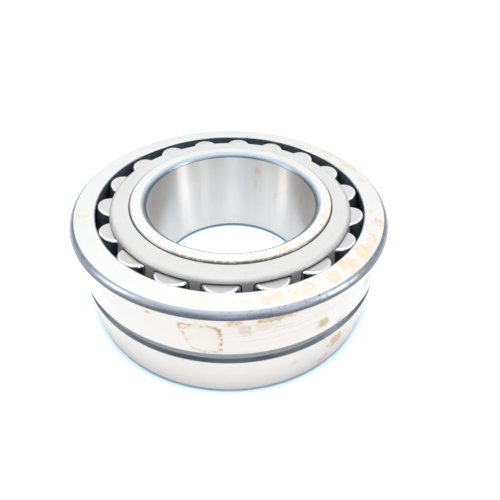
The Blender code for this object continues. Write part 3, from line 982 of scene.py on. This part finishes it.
def pocket_cutters(row, sheet):
    """All pockets of a row as one cutter, flared where it leaves the sheet to break the edge."""
    tight = pocket_outline(0.0)
    wide = pocket_outline(POCKET_BREAK)
    deep = ROLLER_DIAMETER / 2.0
    places = [roller_matrix(spin) for name, spin in SPINS.items() if row in name]
    reaches = [wall_reach(places[0], *point) for point in tight]
    levels = (
        [(-deep, *point) for point in tight],
        [(reach - POCKET_BREAK, *point) for reach, point in zip(reaches, tight)],
        [(reach + POCKET_BREAK * 0.1, *point) for reach, point in zip(reaches, wide)],
        [(deep, *point) for point in wide],
    )
    shape = bmesh.new()
    for place in places:
        lofted(shape, [[shape.verts.new(place @ Vector(p)) for p in level] for level in levels])
    return meshed("pockets", shape, [sheet])


def make_cage(row):
    node = "cage_" + row
    name = node + "_pressed"
    sheet = row + "_sheet"
    mesh = turned(name, cage_profile(sheet), [sheet], CAGE_SEGMENTS, phase=pi / CAGE_SEGMENTS)
    if row == "lower":
        mesh.transform(Matrix.Rotation(pi, 4, "X"))
    cage = add_piece(name, mesh, node)
    cut(cage, pocket_cutters(row, sheet))


def roller_profile():
    """(finish, points) from the centre of one end face to the middle of the barrel."""
    half = ROLLER_LENGTH / 2.0
    rim = barrel_rim()
    rim_angle = asin((half - ROLLER_EDGE) / BARREL_RADIUS)
    barrel_centre = (ROLLER_DIAMETER / 2.0 - BARREL_RADIUS, 0.0)
    face_edge = rim - ROLLER_EDGE
    face_radii = (ROLLER_END_MIDDLE, face_edge / 2.0, face_edge - SUPPORT, face_edge)
    face = [(radius, half) for radius in face_radii]
    corner_radius = ROLLER_EDGE * ROLLER_EDGE_FLATNESS
    return [
        ("roller_end", face),
        ("barrel", bulge(face[-1], (rim, half - ROLLER_EDGE), corner_radius, steps=8)),
        ("barrel", arc(barrel_centre, BARREL_RADIUS, rim_angle, 0.0, steps=10)),
    ]


def roller_mesh(name, place):
    """A roller turned about its own axis and set in its place.

    The attribute own_place keeps each point's coordinates along and round the roller's own axis.
    """
    finishes = ["barrel", "roller_end"]
    points, slots = [], []
    for finish, stretch in mirrored(roller_profile()):
        for here, there in zip(stretch, stretch[1:]):
            points.append(here)
            slots.append(finishes.index(finish))
    points.append(there)
    shape = bmesh.new()
    own = shape.verts.layers.float_vector.new("own_place")
    loops = []
    for radius, height in points:
        loop = []
        for angle in round_angles(ROLLER_SEGMENTS):
            point = Vector((radius * cos(angle), radius * sin(angle), height))
            vert = shape.verts.new(place @ point)
            vert[own] = point
            loop.append(vert)
        loops.append(loop)
    for here, there, slot in zip(loops, loops[1:], slots):
        for i in range(ROLLER_SEGMENTS):
            k = (i + 1) % ROLLER_SEGMENTS
            shape.faces.new((here[i], here[k], there[k], there[i])).material_index = slot
    for loop in (loops[0], loops[-1]):
        shape.faces.new(loop).material_index = finishes.index("roller_end")
    return meshed(name, shape, finishes)


def make_rollers():
    for node, spin in SPINS.items():
        name = node + "_ground"
        add_piece(name, roller_mesh(name, roller_matrix(spin)), node)


# ---------------------------------------------------------------- studio

FLOOR_SIZE = 6.0
FLOOR_SQUARES = 8
FLOOR_CLEARANCE = 0.05 * MM

# The camera, from the photo's view of the bearing; lens and sensor are in millimetres
CAMERA_PLACE = Vector((0.0, -0.20266, 0.16787))
CAMERA_TARGET = Vector((0.01209, -0.01637, 0.0))
CAMERA_ROLL = radians(1.745)
CAMERA_LENS = 26.36
CAMERA_SENSOR = 36.0
CAMERA_NEAREST = 0.01

# The room's light, and how much of it reaches matt surfaces
ROOM_BRIGHT = (1.76, 1.76, 1.76)
ROOM_MIDDLE = (1.45, 1.47, 1.52)
ROOM_LOW = (0.30, 0.32, 0.36)
ROOM_DARK = (0.38, 0.37, 0.39)
ROOM_ON_PAPER = (0.20, 0.20, 0.20)

# Where the room's light changes: heights from 0 at the horizon to 1 overhead, and for FAR
# distances from 0 beside the bearing to 1 straight behind it
LOW_TO_MIDDLE = (0.08, 0.40)
MIDDLE_TO_BRIGHT = (0.38, 0.58)
DARK_TO_LIT_ABOVE = (0.60, 0.92)
DARK_TO_LIT_FAR = (0.0, 0.45)

# A dark screen on each side: where it starts and ends, round from straight behind the
# photographer, its upper edge, and how much of the room's light it takes away
SCREEN_START = (radians(88.0), radians(102.0))
SCREEN_END = (radians(140.0), radians(152.0))
SCREEN_TOP = (0.42, 0.62)
SCREEN_COVER = 0.8

# Lit strips in the room: degrees round from straight behind the photographer, half width, light
STRIPS = (
    (-2.0, 8.0, (1.7, 2.0, 2.2)),
    (73.0, 9.0, (7.5, 7.4, 7.3)),
    (40.0, 4.0, (4.0, 4.0, 4.0)),
    (-53.0, 4.0, (2.6, 2.6, 2.6)),
    (-81.0, 9.0, (6.3, 6.2, 6.1)),
)
STRIP_FOOT = (0.18, 0.34)
STRIP_TOP = (0.60, 0.70)
STRIP_CORE = 0.75

SOFTBOX_PLACE = Vector((0.0, -0.05, 1.4))
SOFTBOX_SIZE = 0.7
SOFTBOX_POWER = 25.0


def make_floor():
    shape = bmesh.new()
    bmesh.ops.create_grid(
        shape, x_segments=FLOOR_SQUARES, y_segments=FLOOR_SQUARES, size=FLOOR_SIZE / 2.0,
    )
    floor = add_object("floor", meshed("floor", shape, ["paper"]))
    floor.location.z = FLOOR_HEIGHT - FLOOR_CLEARANCE


def make_camera():
    data = bpy.data.cameras.new("camera")
    data.lens = CAMERA_LENS
    data.sensor_width = CAMERA_SENSOR
    data.clip_start = CAMERA_NEAREST
    camera = add_object("camera", data)
    aim = (CAMERA_TARGET - CAMERA_PLACE).to_track_quat("-Z", "Y").to_matrix().to_4x4()
    roll = Matrix.Rotation(CAMERA_ROLL, 4, "Z")
    camera.matrix_world = Matrix.Translation(CAMERA_PLACE) @ aim @ roll
    bpy.context.scene.camera = camera


def make_room():
    """A white studio, darker behind the photographer, with lit strips and two dark screens."""
    world = bpy.data.worlds.new("studio")
    bpy.context.scene.world = world
    world.use_nodes = True
    f = Nodes(world.node_tree)
    direction = f.node("TexCoord").outputs["Generated"]
    x, y, z = f.node("SeparateXYZ", Vector=direction).outputs
    heading = f.math("ARCTAN2", x, f.math("MULTIPLY", y, -1.0))

    def without(value, low, high):
        return f.math("SUBTRACT", 1.0, f.step(value, low, high))

    backdrop = f.mix(f.step(z, *LOW_TO_MIDDLE), ROOM_LOW, ROOM_MIDDLE)
    backdrop = f.mix(f.step(z, *MIDDLE_TO_BRIGHT), backdrop, ROOM_BRIGHT)
    lit = f.math("MAXIMUM", f.step(z, *DARK_TO_LIT_ABOVE), f.step(y, *DARK_TO_LIT_FAR))
    colour = f.mix(lit, ROOM_DARK, backdrop)

    either_side = f.math("ABSOLUTE", heading)
    screen = f.math(
        "SUBTRACT", f.step(either_side, *SCREEN_START), f.step(either_side, *SCREEN_END),
    )
    screen = f.times(screen, without(z, *SCREEN_TOP), SCREEN_COVER)
    colour = f.mix(screen, colour, ROOM_LOW)

    for side, half_width, light in STRIPS:
        away = f.math("ABSOLUTE", f.math("SUBTRACT", heading, radians(side)))
        across = without(away, radians(half_width) * STRIP_CORE, radians(half_width))
        upright = f.times(f.step(z, *STRIP_FOOT), without(z, *STRIP_TOP))
        colour = f.mix(f.times(across, upright), colour, light)

    path = f.node("LightPath")
    on_paper = f.mix(1.0, colour, ROOM_ON_PAPER, "MULTIPLY")
    colour = f.mix(path.outputs["Is Diffuse Ray"], colour, on_paper)
    colour = f.mix(path.outputs["Is Camera Ray"], colour, WHITE)
    f.feed(f.tree.nodes["Background"].inputs["Color"], colour)


def make_softbox():
    """A soft light overhead, which lights the paper and does not show in the steel."""
    data = bpy.data.lights.new("softbox", "AREA")
    data.shape = "DISK"
    data.size = SOFTBOX_SIZE
    data.energy = SOFTBOX_POWER
    light = add_object("softbox", data)
    light.location = SOFTBOX_PLACE
    light.rotation_euler = (-light.location).to_track_quat("-Z", "Y").to_euler()
    light.visible_glossy = False


make_outer_ring()
make_inner_ring()
make_guide_ring()
make_cage("upper")
make_cage("lower")
make_rollers()
make_floor()
make_camera()
make_room()
make_softbox()
bpy.context.scene.view_settings.view_transform = "Standard"
